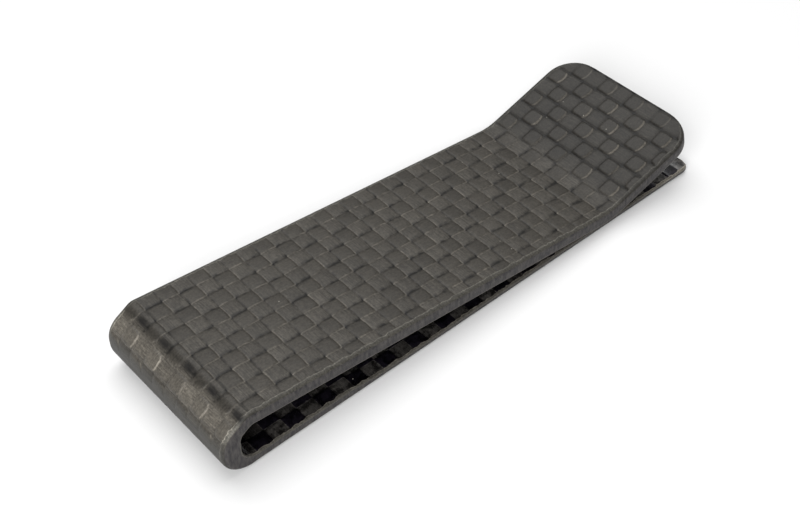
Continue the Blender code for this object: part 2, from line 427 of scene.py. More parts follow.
# %% Relief of the outer face
FACE_RELIEF = {
    # raise, crown, valley, softness
    "flat": (0.036, 0.064, 0.004, 0.10),
    "lip": (0.070, 0.035, 0.040, 0.16),
    "bend": (0.060, 0.045, 0.012, 0.16),
}
PILLOW_DEPTH = 0.055  # rounding of every tile of the lip
PIT_DEPTH = 0.07
LIP_WEAVE = (22.2, 24.6)  # X between which the worn leaf gives way to the full weave
UNDERSIDE_WEAR, UNDERSIDE_SINK = 0.8, 0.045  # kept just clear of whatever the clip lies on
EDGE_FADE = (0.02, 0.35)  # distance from the rim over which the relief grows


def brow_pits(u, v):
    """1 in the middle of every other tile of the row at the brow, falling off as a bell curve
    along the strip and as a flat-topped one across it. Abrasive paper skips these low tiles."""
    m = np.round(v)
    low_tile = 1 - np.mod(1 + m, 2)
    return low_tile * np.exp(-(((u - 0.98) / 0.16) ** 2)) * np.exp(-((np.abs(v - m) / 0.38) ** 4))


def underside(x, z):
    """1 on the flat underside of the bend where it meets the lower leaf, 0 further up its heel."""
    return smooth(x, -36.4, -33.6) * smooth(-z, -0.9, -0.25)


def lip_height(u, v):
    """The weave of the lip, with every tile rounded like a pillow: its rim is the fourth root of
    the summed fourth powers of both distances from the middle."""
    along, across = np.abs(2 * (u - np.round(u))), np.abs(2 * (v - np.round(v)))
    pillow = smooth((along**4 + across**4) ** 0.25, 0.70, 1.12)
    return weave_height(u, v, *FACE_RELIEF["lip"]) - PILLOW_DEPTH * pillow


def outer_height(u, v, x, z, from_edge, lip, stretch_name):
    """Relief of the outer face: rubbed flat on the leaf, full on the lip, gone on the end wall."""
    flat = weave_height(u, v, *FACE_RELIEF["flat"])
    height = flat * (1 - lip) + lip_height(u, v) * lip
    under = flat * UNDERSIDE_WEAR - UNDERSIDE_SINK
    if stretch_name == "bend":
        curved = weave_height(u, v, *FACE_RELIEF["bend"])
        height = height + (curved - height) * smooth(-u, -1.45, -0.8)
        height = height * (smooth(z, 4.0, 5.4) + 0.04) - PIT_DEPTH * brow_pits(u, v)
        height = height + (under - height) * underside(x, z)
    if stretch_name == "lower_leaf":
        height = under
    if stretch_name == "arm":
        from_edge = np.minimum(from_edge, (LIP_END_X - x) / LIP_SLOPE[0])
    return height * smooth(from_edge, *EDGE_FADE)


print("depth of the low tiles at the brow:", PIT_DEPTH, "mm")

# %% [markdown]
# ## Painted light and shade
# Rubbing greys a tow, and the sanded colour of the material draws that. The shoulder is the palest
# part of the clip, and the lip and the heel are darker, so each point also stores a factor for its
# brightness. These factors are painted light and shade: a lit shoulder, a shaded heel, brow, lip
# and crease, and a lit lining on the lower leaf where the slot opens. They were set for the light
# below, and painted in like this they don't move when a light does. A light for each place could
# give the same look instead, but only from one side.

# %% Tone and wear of each point
# painted light and shade on the bend's outer face by height in mm: lit shoulder, shaded heel and brow
BEND_LIGHT_AND_SHADE = [
    (0.0, 0.30),
    (2.5, 0.42),
    (3.6, 0.58),
    (4.7, 0.70),
    (5.6, 1.10),
    (6.3, 2.00),
    (6.9, 2.05),
    (7.4, 1.40),
    (7.75, 0.62),
    (8.0, 0.86),
    (8.1, 1.0),
]
# painted shade on the lip and just before the crease, painted light on the lower leaf's lining where the
# slot opens
LIP_PAINTED_SHADE, CREASE_PAINTED_SHADE, TIP_PAINTED_LIGHT = 0.49, 0.12, 1.3
RESIN_LINE_DARKENING = 0.30


def painted_light_and_shade_of(x, z, lip, stretch_name, face):
    """Painted light and shade on a face, as a factor on its colour, from 1 for the flat leaf."""
    if (stretch_name, face) == ("bend", "outer"):
        tone = np.interp(z, *zip(*BEND_LIGHT_AND_SHADE))
        return tone + (1 - tone) * underside(x, z)
    if (stretch_name, face) == ("arm", "outer"):
        crease = smooth(x, 18.0, 21.0) * (1 - lip)
        return (1 - LIP_PAINTED_SHADE * lip) * (1 - CREASE_PAINTED_SHADE * crease)
    if (stretch_name, face) == ("lower_leaf", "inner"):
        return 1 + TIP_PAINTED_LIGHT * smooth(x, 27.0, 34.0)
    return np.ones_like(x)


def wear_and_shade_of(u, v, x, z):
    """Three shares for the bend's outer face: low tiles, dark with unrubbed gloss and painted shade;
    sanded wall; tiles of the shoulder, which get a painted shine.
    """
    sanded = (1 - smooth(z, 4.4, 5.9)) * (1 - underside(x, z))
    shoulder = smooth(z, 4.6, 5.6) * smooth(-z, -7.7, -7.2)
    return brow_pits(u, v), sanded, shoulder


print("palest tone of the shoulder:", max(tone for _, tone in BEND_LIGHT_AND_SHADE))

# %% [markdown]
# ## The loop of one ply
# A woven face needs rows that follow the tows, so that no facet crosses a seam. A plain grid would
# need far more points for the same crispness. The rows wander a little, as real tows do, and run
# straight at the ends of a stretch so that neighbouring stretches meet.

# %% Rows and columns of a loop
FIRST_ROW, LAST_ROW = 1.5, 9.5
TOW_ROWS = tow_samples(FIRST_ROW, LAST_ROW)
RIM_SHARES = np.array([0, 0.03, 0.08, 0.16, 0.3, 0.45, 0.6, 0.74, 0.85, 0.93, 0.97])
HELD_STATIONS = 12
FACE_EDGE_STEPS, CORE_EDGE_STEPS = 7, 5
ARRIS = {"outer": OUTER_ARRIS, "inner": INNER_ARRIS, None: 0.0}


def fan_x(st, stretch_name):
    """The X that sets the row spacing. Tows fan out along the arm only."""
    x = st["outer"][:, :1]
    return x if stretch_name == "arm" else np.full_like(x, JOIN_X)


def face_scale(st, face):
    """How much a rounded plan corner narrows the face, as a share of its full width."""
    return (st["half"] - ARRIS[face]) / (st["full"] - ARRIS[face])


def rows_across(st, stretch_name, face):
    """Y of each row of a woven face. A tow row lies at its tow's place plus its wander. The rows
    beside each rim share out the gap that is left, closer together at the rim."""
    count = len(st["half"])
    station = np.arange(count)
    held = smooth(station, 0, HELD_STATIONS) * smooth(-station, 1 - count, 1 + HELD_STATIONS - count)
    fade = smooth(TOW_ROWS, FIRST_ROW, FIRST_ROW + 1) * smooth(-TOW_ROWS, -LAST_ROW, 1 - LAST_ROW)
    y = EDGE_ROW_Y + (TOW_ROWS - EDGE_ROW) * row_pitch(fan_x(st, stretch_name))
    rim = (st["full"] - ARRIS[face])[:, None]
    near = -rim + (y[:, :1] + rim) * RIM_SHARES
    far = rim + (y[:, -1:] - rim) * RIM_SHARES[::-1]
    stray = wander(st[face + "_tow"][:, None], TOW_ROWS) * held[:, None] * fade
    y = np.concatenate([near, y + stray * TOW_PITCH, far], axis=1)
    return y * face_scale(st, face)[:, None]


def ply_loop(st, stretch_name, thickness, top, bottom, face):
    """Y and depth round a ply: over its top, down the far cut edge, back under it and up the near
    one. Also says which columns are woven face, and how near each is to a resin line."""
    shares = np.linspace(0, 1, FACE_EDGE_STEPS if face else CORE_EDGE_STEPS)
    depth = top[:, None] + (bottom - top)[:, None] * shares
    groove = RESIN_GROOVE * np.abs(2 * shares - 1) ** 6
    groove = groove * {"outer": shares > 0.5, "inner": shares < 0.5, None: 1}[face]
    half = st["half"][:, None] - side_inset(depth, thickness[:, None]) - groove
    over_half, under_half = half[:, 0], half[:, -1]
    if face is None:
        over_half = st["half"] - side_inset(top, thickness)
    over = np.stack([-over_half, over_half], axis=1)
    under = np.stack([under_half, -under_half], axis=1)
    if face == "outer":
        over = rows_across(st, stretch_name, face)
    if face == "inner":
        under = rows_across(st, stretch_name, face)[:, ::-1]
    y = np.concatenate([over, half[:, 1:-1], under, -half[:, -2:0:-1]], axis=1)
    over_depth = np.repeat(depth[:, :1], over.shape[1], 1)
    under_depth = np.repeat(depth[:, -1:], under.shape[1], 1)
    depth = np.concatenate([over_depth, depth[:, 1:-1], under_depth, depth[:, -2:0:-1]], axis=1)

    edge_steps = len(shares) - 2
    column = np.arange(y.shape[1])
    under_start = over.shape[1] + edge_steps
    in_under = (column >= under_start) & (column < under_start + under.shape[1])
    woven = {"outer": column < over.shape[1], "inner": in_under, None: column < 0}[face]
    resin = np.zeros(y.shape[1])
    resin[over.shape[1] : under_start] = np.abs(2 * shares[1:-1] - 1) ** 4
    resin[-edge_steps:] = resin[over.shape[1] : under_start][::-1]
    return y, depth, woven, resin


def across_count(st, stretch_name, y, woven, face):
    """Tow count across the strip. A tow row keeps its own number wherever the tow wanders."""
    v = tows_across(fan_x(st, stretch_name), y)
    if face:
        first = int(np.argmax(woven)) + RIM_SHARES.size
        rows = slice(first, first + TOW_ROWS.size)
        own = TOW_ROWS if face == "outer" else TOW_ROWS[::-1]
        full_width = smooth(face_scale(st, face), 0.985, 1.0)[:, None]
        v[:, rows] = own * full_width + v[:, rows] * (1 - full_width)
    return v


print("rows across a woven face:", TOW_ROWS.size + 2 * RIM_SHARES.size)

# %% [markdown]
# ## One ply
# Everything meets here: the loop is placed between its two depths, moved out or in by the relief,
# and made a mesh that stores its tow counts, its wear and its painted light and shade. Bend pieces
# are attached to neither body, though the real strip bends there as it opens and must not tear.

# %% One ply
INNER_RELIEF = (0.030, 0.035, 0.01, 0.2)


def ply_piece(name, stretch_name, node, body, top, bottom, face, keep=None):
    """One ply: the loop at each station, placed between its two depths and carried along."""
    st = stations_of(STRETCHES[stretch_name], face or "outer", face is not None)
    thickness = np.linalg.norm(st["inner"] - st["outer"], axis=1)
    if keep is not None:
        chosen = keep(st, thickness)
        st = {key: value[chosen] for key, value in st.items()}
        thickness = thickness[chosen]
    y, depth, woven, resin = ply_loop(
        st, stretch_name, thickness, top(thickness), bottom(thickness), face
    )
    share = (depth / thickness[:, None])[:, :, None]
    place = st["outer"][:, None, :] * (1 - share) + st["inner"][:, None, :] * share
    u = np.repeat(st[(face or "outer") + "_tow"][:, None], y.shape[1], 1)
    v = across_count(st, stretch_name, y, woven, face)
    from_edge = st["half"][:, None] - ARRIS[face] - np.abs(y)
    on_lip = (stretch_name, face) == ("arm", "outer")
    lip = smooth(place[..., 0], *LIP_WEAVE) * on_lip
    if face == "outer":
        height = outer_height(u, v, place[..., 0], place[..., 1], from_edge, lip, stretch_name)
        place = place + normals_of(st["outer"])[:, None, :] * (height * woven)[..., None]
    if face == "inner":
        height = weave_height(u, v, *INNER_RELIEF) * smooth(from_edge, 0.0, 0.2)
        place = place - normals_of(st["inner"])[:, None, :] * (height * woven)[..., None]

    x, z = place[..., 0], place[..., 1]
    # tone: painted light and shade of each point, times the real darker resin line between plies
    tone = painted_light_and_shade_of(x, z, lip, stretch_name, face) * (1 - RESIN_LINE_DARKENING * resin)
    none = np.zeros_like(u)
    worn = (stretch_name, face) == ("bend", "outer")
    pits, sanded, shoulder = wear_and_shade_of(u, v, x, z) if worn else (none, none, none)
    attributes = {
        "weave": np.stack([u, v, tone], axis=-1),
        "finish": np.stack([pits, sanded, np.where(woven, from_edge, -0.2)], axis=-1),
        "zone": np.stack([lip, shoulder, none], axis=-1),
    }
    obj = loop_mesh(name, np.stack([x, y, z], axis=-1), attributes)
    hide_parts(node)
    if body is None:
        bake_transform(obj)
    else:
        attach(obj, body)
    return obj


# %% [markdown]
# ## The lay-up
# Seven plies run through the arm. Two of them drop off early in the lower leaf, which makes it
# thinner, and three short doublers thicken the bend, where the strip is strained most. A solid
# strip with lines drawn on its edges would look alike from afar. Listing the two boundary depths
# of each ply is as short, and gives pieces that a maker would recognise.


# %% Depths of each ply
def fixed(plies):
    """Depth of the boundary under a number of plies, the same everywhere."""
    return lambda thickness: np.full_like(thickness, plies * PLY)


def from_inside(plies):
    """Depth of the boundary that lies a number of plies above the inner face."""
    return lambda thickness: thickness - plies * PLY


def doubler(number):
    """Boundaries of the doublers, which share out the thickness beyond seven plies."""
    first = (ARM_PLIES - 2) * PLY
    return lambda thickness: first + number * np.clip(thickness - ARM_THICKNESS, 0, None) / 3


def gusset_top(thickness):
    """The sixth ply takes what room is left between five plies and the lining, up to one ply."""
    return thickness - PLY - np.minimum(PLY, thickness - ROOT_THICKNESS)


def left_of(x):
    """Keeps the stations before a ply drop and its ramp."""
    return lambda st, thickness: st["outer"][:, 0] < x + DROP_RAMP


def thicker_than(limit):
    """Keeps the stations where there is room for a ply that isn't always there."""
    return lambda st, thickness: thickness > limit


print("depth under two plies:", float(fixed(2)(np.zeros(1))[0]), "mm")

# %% All the plies
THINNEST = 0.02  # a ply ends where it would be thinner than this
DROPS = {4: SECOND_DROP_X, 5: FIRST_DROP_X}  # where two plies of the lower leaf end
built = []


def add_ply(slot, name, *place, **more):
    """Makes a ply, names its finish and keeps it for the material cells."""
    obj = ply_piece(name, *place, **more)
    built.append((slot, obj))


def add_core(name, *place, **more):
    """Makes a core ply, which has no woven face."""
    add_ply("laminate_core", name, *place, None, **more)


for stretch, body in (("lower_leaf", "clip_base"), ("bend", None), ("arm", "spring_arm")):
    outer = (stretch, stretch + "_outer_face_ply", body, fixed(0), fixed(1), "outer")
    inner = (stretch, stretch + "_inner_face_ply", body, from_inside(1), from_inside(0), "inner")
    add_ply("woven_face", stretch + "_woven_skin", *outer)
    add_ply("slot_lining", stretch + "_slot_skin", *inner)
for number in (2, 3, 4, 5):
    kind = "drop" if number in DROPS else "core"
    keep = left_of(DROPS[number]) if number in DROPS else None
    node = f"lower_leaf_{kind}_ply_{number}"
    depths = (fixed(number - 1), fixed(number))
    add_core(f"lower_leaf_layer_{number}", "lower_leaf", node, "clip_base", *depths, keep=keep)
for number in (2, 3, 4, 5):
    depths = (fixed(number - 1), fixed(number))
    add_core(f"bend_layer_{number}", "bend", f"bend_core_ply_{number}", None, *depths)
for number in (1, 2, 3):
    depths = (doubler(number - 1), doubler(number))
    keep = thicker_than(ARM_THICKNESS + THINNEST)
    add_core(f"bend_doubler_{number}", "bend", f"bend_doubler_ply_{number}", None, *depths, keep=keep)
keep = thicker_than(ROOT_THICKNESS + THINNEST)
add_core("bend_layer_6", "bend", "bend_gusset_ply_6", None, gusset_top, from_inside(1), keep=keep)
for number in (2, 3, 4, 5, 6):
    depths = (fixed(number - 1), fixed(number))
    add_core(f"arm_layer_{number}", "arm", f"arm_core_ply_{number}", "spring_arm", *depths)
print("plies made:", len(built), "faces:", sum(len(obj.data.polygons) for _, obj in built))

# %% [markdown]
# ## Rubbed carbon weave
# Carbon fibre in clear epoxy is nearly black and shines along its filaments. Rubbing it with
# abrasive paper turns the shine to a warm grey satin. The pale and dark lines along each tow are
# painted highlight and painted shade, where its sides face towards or away from the light. An image
# of cloth would be quick, but it would stretch round the bend. Here the material reads the tow
# counts from the mesh, so each tile knows which way its filaments run.


# %% Colours and nodes
def to_linear(code):
    """sRGB hex to linear: c / 12.92 below 0.04045, else ((c + 0.055) / 1.055) ^ 2.4."""
    values = [int(code[i : i + 2], 16) / 255 for i in (1, 3, 5)]
    return tuple(c / 12.92 if c <= 0.04045 else ((c + 0.055) / 1.055) ** 2.4 for c in values) + (1.0,)


def add(tree, kind, settings=None, **inputs):
    """Adds a node, sets its properties, and connects or sets its inputs by name, or by number as
    i0, i1 and so on. Gives back the node."""
    node = tree.nodes.new(kind)
    for key, value in (settings or {}).items():
        setattr(node, key, value)
    for key, value in inputs.items():
        by_number = key[0] == "i" and key[1:].isdigit()
        socket = node.inputs[int(key[1:])] if by_number else node.inputs[key.replace("_", " ")]
        if isinstance(value, bpy.types.NodeSocket):
            tree.links.new(value, socket)
        else:
            socket.default_value = value
    return node


MATH, RANGE, NOISE = "ShaderNodeMath", "ShaderNodeMapRange", "ShaderNodeTexNoise"
SOFT = {"interpolation_type": "SMOOTHSTEP"}
COLOUR_MIX = {"data_type": "RGBA"}
SCALE = {"operation": "SCALE"}
print("mid grey in linear light:", round(to_linear("#808080")[0], 3))


# %% What the mesh says about a tile
STORED = ("weave", "finish", "zone")


def read_weave(tree):
    """Sockets for what the mesh stores, and for each tile's number, kind and chance value. A tile
    is odd where the lengthwise tow lies on top."""
    weave, finish, zone = (
        add(tree, "ShaderNodeAttribute", {"attribute_name": label}).outputs["Vector"]
        for label in STORED
    )
    u, v, tone = add(tree, "ShaderNodeSeparateXYZ", Vector=weave).outputs
    pits, sanded, from_edge = add(tree, "ShaderNodeSeparateXYZ", Vector=finish).outputs
    lip, shoulder, _ = add(tree, "ShaderNodeSeparateXYZ", Vector=zone).outputs
    n = add(tree, MATH, {"operation": "ROUND"}, i0=u).outputs[0]
    m = add(tree, MATH, {"operation": "ROUND"}, i0=v).outputs[0]
    total = add(tree, MATH, {"operation": "ADD"}, i0=n, i1=m).outputs[0]
    tile = add(tree, "ShaderNodeCombineXYZ", X=n, Y=m).outputs[0]
    chance = add(tree, "ShaderNodeTexWhiteNoise", {"noise_dimensions": "2D"}, Vector=tile)
    return {
        "weave": weave,
        "u": u,
        "v": v,
        "tone": tone,
        "pits": pits,
        "sanded": sanded,
        "from_edge": from_edge,
        "lip": lip,
        "shoulder": shoulder,
        "odd": add(tree, MATH, {"operation": "FLOORED_MODULO"}, i0=total, i1=2.0).outputs[0],
        "chance": chance.outputs["Value"],
        "off_u": add(tree, MATH, {"operation": "SUBTRACT"}, i0=u, i1=n).outputs[0],
        "off_v": add(tree, MATH, {"operation": "SUBTRACT"}, i0=v, i1=m).outputs[0],
        "breaks": add(tree, NOISE, Vector=weave, Scale=2.7, Detail=1.0).outputs["Fac"],
        "high": add(tree, MATH, {"operation": "MAXIMUM"}, i0=lip, i1=shoulder).outputs[0],
        "here": add(tree, "ShaderNodeTexCoord").outputs["Object"],
    }


print("read from each point of the mesh:", STORED)

# %% Filaments and tile colours
STREAKS_PER_TOW = 15.0  # a real tow is thousands of 0.007 mm filaments, far too fine to see


def filaments(tree, at):
    """Noise stretched along the tow that is on top, as fine as the streaks across it."""
    across = add(tree, "ShaderNodeMix", Factor=at["odd"], i2=at["u"], i3=at["v"]).outputs[0]
    along = add(tree, "ShaderNodeMix", Factor=at["odd"], i2=at["v"], i3=at["u"]).outputs[0]
    fine = add(tree, MATH, {"operation": "MULTIPLY"}, i0=across, i1=STREAKS_PER_TOW).outputs[0]
    long = add(tree, MATH, {"operation": "MULTIPLY"}, i0=along, i1=1.1).outputs[0]
    place = add(tree, "ShaderNodeCombineXYZ", X=fine, Y=long, Z=at["odd"]).outputs[0]
    return add(tree, NOISE, Vector=place, Scale=1.0, Detail=2.0, Roughness=0.6).outputs["Fac"]


def tile_colour(tree, at, crosswise, lengthwise):
    """One colour for each tow direction; the difference between them is a painted sheen. They grow
    alike where the weave keeps its height.
    """
    alike = add(tree, MATH, {"operation": "MULTIPLY"}, i0=at["high"], i1=0.9).outputs[0]
    kind = add(tree, "ShaderNodeMix", Factor=alike, i2=at["odd"], i3=0.35).outputs[0]
    colours = {"i6": to_linear(crosswise), "i7": to_linear(lengthwise)}
    return add(tree, "ShaderNodeMix", COLOUR_MIX, Factor=kind, **colours).outputs[2]


def fibre_gain(tree, at, fibre, streak):
    """Gain of the streaks, twice as strong on the crosswise tows, and a chance gain per tile."""
    low = add(tree, RANGE, Value=at["odd"], To_Min=1 - streak, To_Max=1 - streak / 2).outputs[0]
    high = add(tree, RANGE, Value=at["odd"], To_Min=1 + streak, To_Max=1 + streak / 2).outputs[0]
    limits = {"From_Min": 0.3, "From_Max": 0.7, "To_Min": low, "To_Max": high}
    streaks = add(tree, RANGE, Value=fibre, **limits).outputs[0]
    tile = add(tree, RANGE, Value=at["chance"], To_Min=0.86, To_Max=1.14).outputs[0]
    return add(tree, MATH, {"operation": "MULTIPLY"}, i0=tile, i1=streaks).outputs[0]


print("streaks drawn", round(TOW_PITCH / STREAKS_PER_TOW, 2), "mm apart")

# %% Painted light and shade at the seams
# Painted shade and painted highlight along the sides of a tile, where a side faces away from or
# towards the light: direction, the two distances from its middle, in tows, between which a line
# grows, and its gain. The two kinds of tile are mirrored, so that neighbours share each line.
SEAM_LIGHT_AND_SHADE = [
    ("rise_v", 0.28, 0.49, -0.74),
    ("rise_v", -0.43, -0.49, 0.95),
    ("rise_u", 0.43, 0.49, 0.75),
    ("rise_u", -0.38, -0.49, -0.50),
]


def seam_light_and_shade_gain(tree, at):
    """Sum of the four lines of painted light and shade, broken up by noise, and fainter where nothing was
    rubbed.
    """
    side = add(tree, MATH, {"operation": "MULTIPLY_ADD"}, i0=at["odd"], i1=2.0, i2=-1.0).outputs[0]
    rise = {
        "rise_v": add(tree, MATH, {"operation": "MULTIPLY"}, i0=at["off_v"], i1=side).outputs[0],
        "rise_u": add(tree, MATH, {"operation": "MULTIPLY"}, i0=at["off_u"], i1=side).outputs[0],
    }
    total = 0.0
    for way, start, end, gain in SEAM_LIGHT_AND_SHADE:
        seam = add(tree, RANGE, SOFT, Value=rise[way], From_Min=start, From_Max=end, To_Max=gain)
        total = add(tree, MATH, {"operation": "ADD"}, i0=seam.outputs[0], i1=total).outputs[0]
    limits = {"From_Min": 0.38, "From_Max": 0.62, "To_Min": 0.15, "To_Max": 1.1}
    broken = add(tree, RANGE, Value=at["breaks"], **limits).outputs[0]
    fainter = add(tree, MATH, {"operation": "MULTIPLY_ADD"}, i0=at["high"], i1=-0.80, i2=1.0)
    shown = add(tree, MATH, {"operation": "MULTIPLY"}, i0=broken, i1=fainter.outputs[0]).outputs[0]
    return add(tree, MATH, {"operation": "MULTIPLY_ADD"}, i0=total, i1=shown, i2=1.0).outputs[0]


print("lines drawn along a tile:", len(SEAM_LIGHT_AND_SHADE))

# %% Painted shine and valley shade of the full weave
SHINE_OFFSET = 0.455  # from the tow's middle, in tows


def painted_shine_arc(tree, at, off_u):
    """A painted highlight: a curved line along one side of each raised tow. It bends back with the
    cube of the distance from the tow's middle, fades at its ends, and differs in strength from tile
    to tile."""
    curve = add(tree, MATH, {"operation": "POWER"}, i0=off_u, i1=3.0).outputs[0]
    line = add(tree, MATH, {"operation": "MULTIPLY_ADD"}, i0=curve, i1=-1.6, i2=at["off_v"]).outputs[0]
    gap = add(tree, MATH, {"operation": "ADD"}, i0=line, i1=SHINE_OFFSET).outputs[0]
    gap = add(tree, MATH, {"operation": "ABSOLUTE"}, i0=gap).outputs[0]
    fade = {"To_Min": 1.0, "To_Max": 0.0}
    arc = add(tree, RANGE, SOFT, Value=gap, From_Min=0.012, From_Max=0.075, **fade).outputs[0]
    ends = add(tree, RANGE, SOFT, Value=off_u, From_Min=0.33, From_Max=0.45, **fade).outputs[0]
    strength = add(tree, RANGE, Value=at["chance"], To_Min=1.1, To_Max=3.0).outputs[0]
    for factor in (ends, at["odd"], strength):
        arc = add(tree, MATH, {"operation": "MULTIPLY"}, i0=arc, i1=factor).outputs[0]
    return arc


def shine_and_valley_shade_gain(tree, at):
    """Gain of the painted highlight arcs on lip and shoulder and of the painted shade in the valleys
    round each tile of the lip. The shade grows with the fourth power of the distance along plus 0.6
    times that across, so it is darkest where four tiles meet."""
    off_u = add(tree, MATH, {"operation": "ABSOLUTE"}, i0=at["off_u"]).outputs[0]
    off_v = add(tree, MATH, {"operation": "ABSOLUTE"}, i0=at["off_v"]).outputs[0]
    u_four = add(tree, MATH, {"operation": "POWER"}, i0=off_u, i1=4.0).outputs[0]
    v_four = add(tree, MATH, {"operation": "POWER"}, i0=off_v, i1=4.0).outputs[0]
    rim = add(tree, MATH, {"operation": "MULTIPLY_ADD"}, i0=v_four, i1=0.6, i2=u_four).outputs[0]
    # painted shade in the valleys between the tiles of the lip
    valley = add(tree, RANGE, SOFT, Value=rim, From_Min=0.020, From_Max=0.078, To_Max=-0.72)
    valley = add(tree, MATH, {"operation": "MULTIPLY"}, i0=valley.outputs[0], i1=at["lip"])
    where = add(tree, MATH, {"operation": "MULTIPLY_ADD"}, i0=at["shoulder"], i1=0.55, i2=at["lip"])
    arc = painted_shine_arc(tree, at, off_u)
    shine = {"i0": arc, "i1": where.outputs[0], "i2": valley.outputs[0]}
    shine = add(tree, MATH, {"operation": "MULTIPLY_ADD"}, **shine).outputs[0]
    return add(tree, MATH, {"operation": "ADD"}, i0=shine, i1=1.0).outputs[0]


print("shine drawn", round(SHINE_OFFSET * TOW_PITCH, 2), "mm from the middle of a tow")

# %% Rubbed rim, sanded wall and grain
GRIT_SCALE, PINHOLE_SCALE = 3800.0, 420.0  # grains, and cells that may hold a pinhole, in a metre


def rub(tree, at, woven, sanded):
    """Lays a sanded grey over the weave at the rims and on the end wall, with fine scratches across the
    strip, scaled by the stored tone of painted light and shade. A pale ragged line where the rim
    begins is a painted highlight on the turn of the edge. Gives the colour and where."""
    ragged = {"i0": at["breaks"], "i1": 0.55, "i2": at["from_edge"]}
    ragged = add(tree, MATH, {"operation": "MULTIPLY_ADD"}, **ragged).outputs[0]
    limits = {"From_Min": 0.30, "From_Max": 0.38, "To_Min": 1.0, "To_Max": 0.0}
    rim = add(tree, RANGE, Value=ragged, **limits).outputs[0]
    worn = add(tree, MATH, {"operation": "MAXIMUM"}, i0=rim, i1=at["sanded"]).outputs[0]
    stretched = add(tree, "ShaderNodeMapping", Vector=at["here"], Scale=(6000.0, 300.0, 6000.0))
    scratch = add(tree, NOISE, Vector=stretched.outputs[0], Scale=1.0, Detail=2.0).outputs["Fac"]
    limits = {"From_Min": 0.3, "From_Max": 0.7, "To_Min": 0.70, "To_Max": 1.30}
    gain = add(tree, RANGE, Value=scratch, **limits).outputs[0]
    # painted highlight: a pale ragged line where the face turns into its rounded rim
    gap = add(tree, MATH, {"operation": "SUBTRACT"}, i0=ragged, i1=0.33).outputs[0]
    gap = add(tree, MATH, {"operation": "ABSOLUTE"}, i0=gap).outputs[0]
    limits = {"From_Min": 0.02, "From_Max": 0.12, "To_Min": 2.3, "To_Max": 1.0}
    line = add(tree, RANGE, Value=gap, **limits).outputs[0]
    for factor in (at["tone"], line):
        gain = add(tree, MATH, {"operation": "MULTIPLY"}, i0=gain, i1=factor).outputs[0]
    grey = add(tree, "ShaderNodeVectorMath", SCALE, i0=to_linear(sanded)[:3], Scale=gain).outputs[0]
    rubbed = add(tree, "ShaderNodeMix", COLOUR_MIX, Factor=worn, i6=woven, i7=grey).outputs[2]
    return rubbed, worn


def grain(tree, at, colour):
    """Dark low tiles, near black for their unrubbed gloss and for painted shade in their hollows, then
    grit about 0.25 mm across with finer grit in it, then a few pale pinholes in the resin. Real grit
    is about 0.05 mm, too fine to show."""
    # near black at the low tiles of the brow: unrubbed gloss, and painted shade in the hollow
    dark = {"i6": colour, "i7": to_linear("#0c0b0d")}
    pitted = add(tree, "ShaderNodeMix", COLOUR_MIX, Factor=at["pits"], **dark).outputs[2]
    grit = add(tree, NOISE, Vector=at["here"], Scale=GRIT_SCALE, Detail=4.0, Roughness=0.75)
    limits = {"From_Min": 0.3, "From_Max": 0.7, "To_Min": 0.56, "To_Max": 1.44}
    gain = add(tree, RANGE, Value=grit.outputs["Fac"], **limits).outputs[0]
    grained = add(tree, "ShaderNodeVectorMath", SCALE, i0=pitted, Scale=gain).outputs[0]
    specks = add(tree, "ShaderNodeTexVoronoi", Vector=at["here"], Scale=PINHOLE_SCALE).outputs
    speck = add(tree, RANGE, Value=specks["Distance"], From_Min=0.042, From_Max=0.026).outputs[0]
    chosen = add(tree, "ShaderNodeSeparateColor", Color=specks["Color"]).outputs[0]
    rare = add(tree, MATH, {"operation": "GREATER_THAN"}, i0=chosen, i1=0.6).outputs[0]
    pinhole = add(tree, MATH, {"operation": "MULTIPLY"}, i0=speck, i1=rare).outputs[0]
    pale = {"i6": grained, "i7": to_linear("#8a867d")}
    return add(tree, "ShaderNodeMix", COLOUR_MIX, Factor=pinhole, **pale).outputs[2]


print("grit drawn about", round(1 / (GRIT_SCALE * MM), 2), "mm across")

# %% A woven material
FILAMENT_RELIEF = 0.00002


def new_material(name):
    """A material with its node tree and its one shader."""
    material = bpy.data.materials.new(name)
    material.use_nodes = True
    return material, material.node_tree, material.node_tree.nodes["Principled BSDF"]


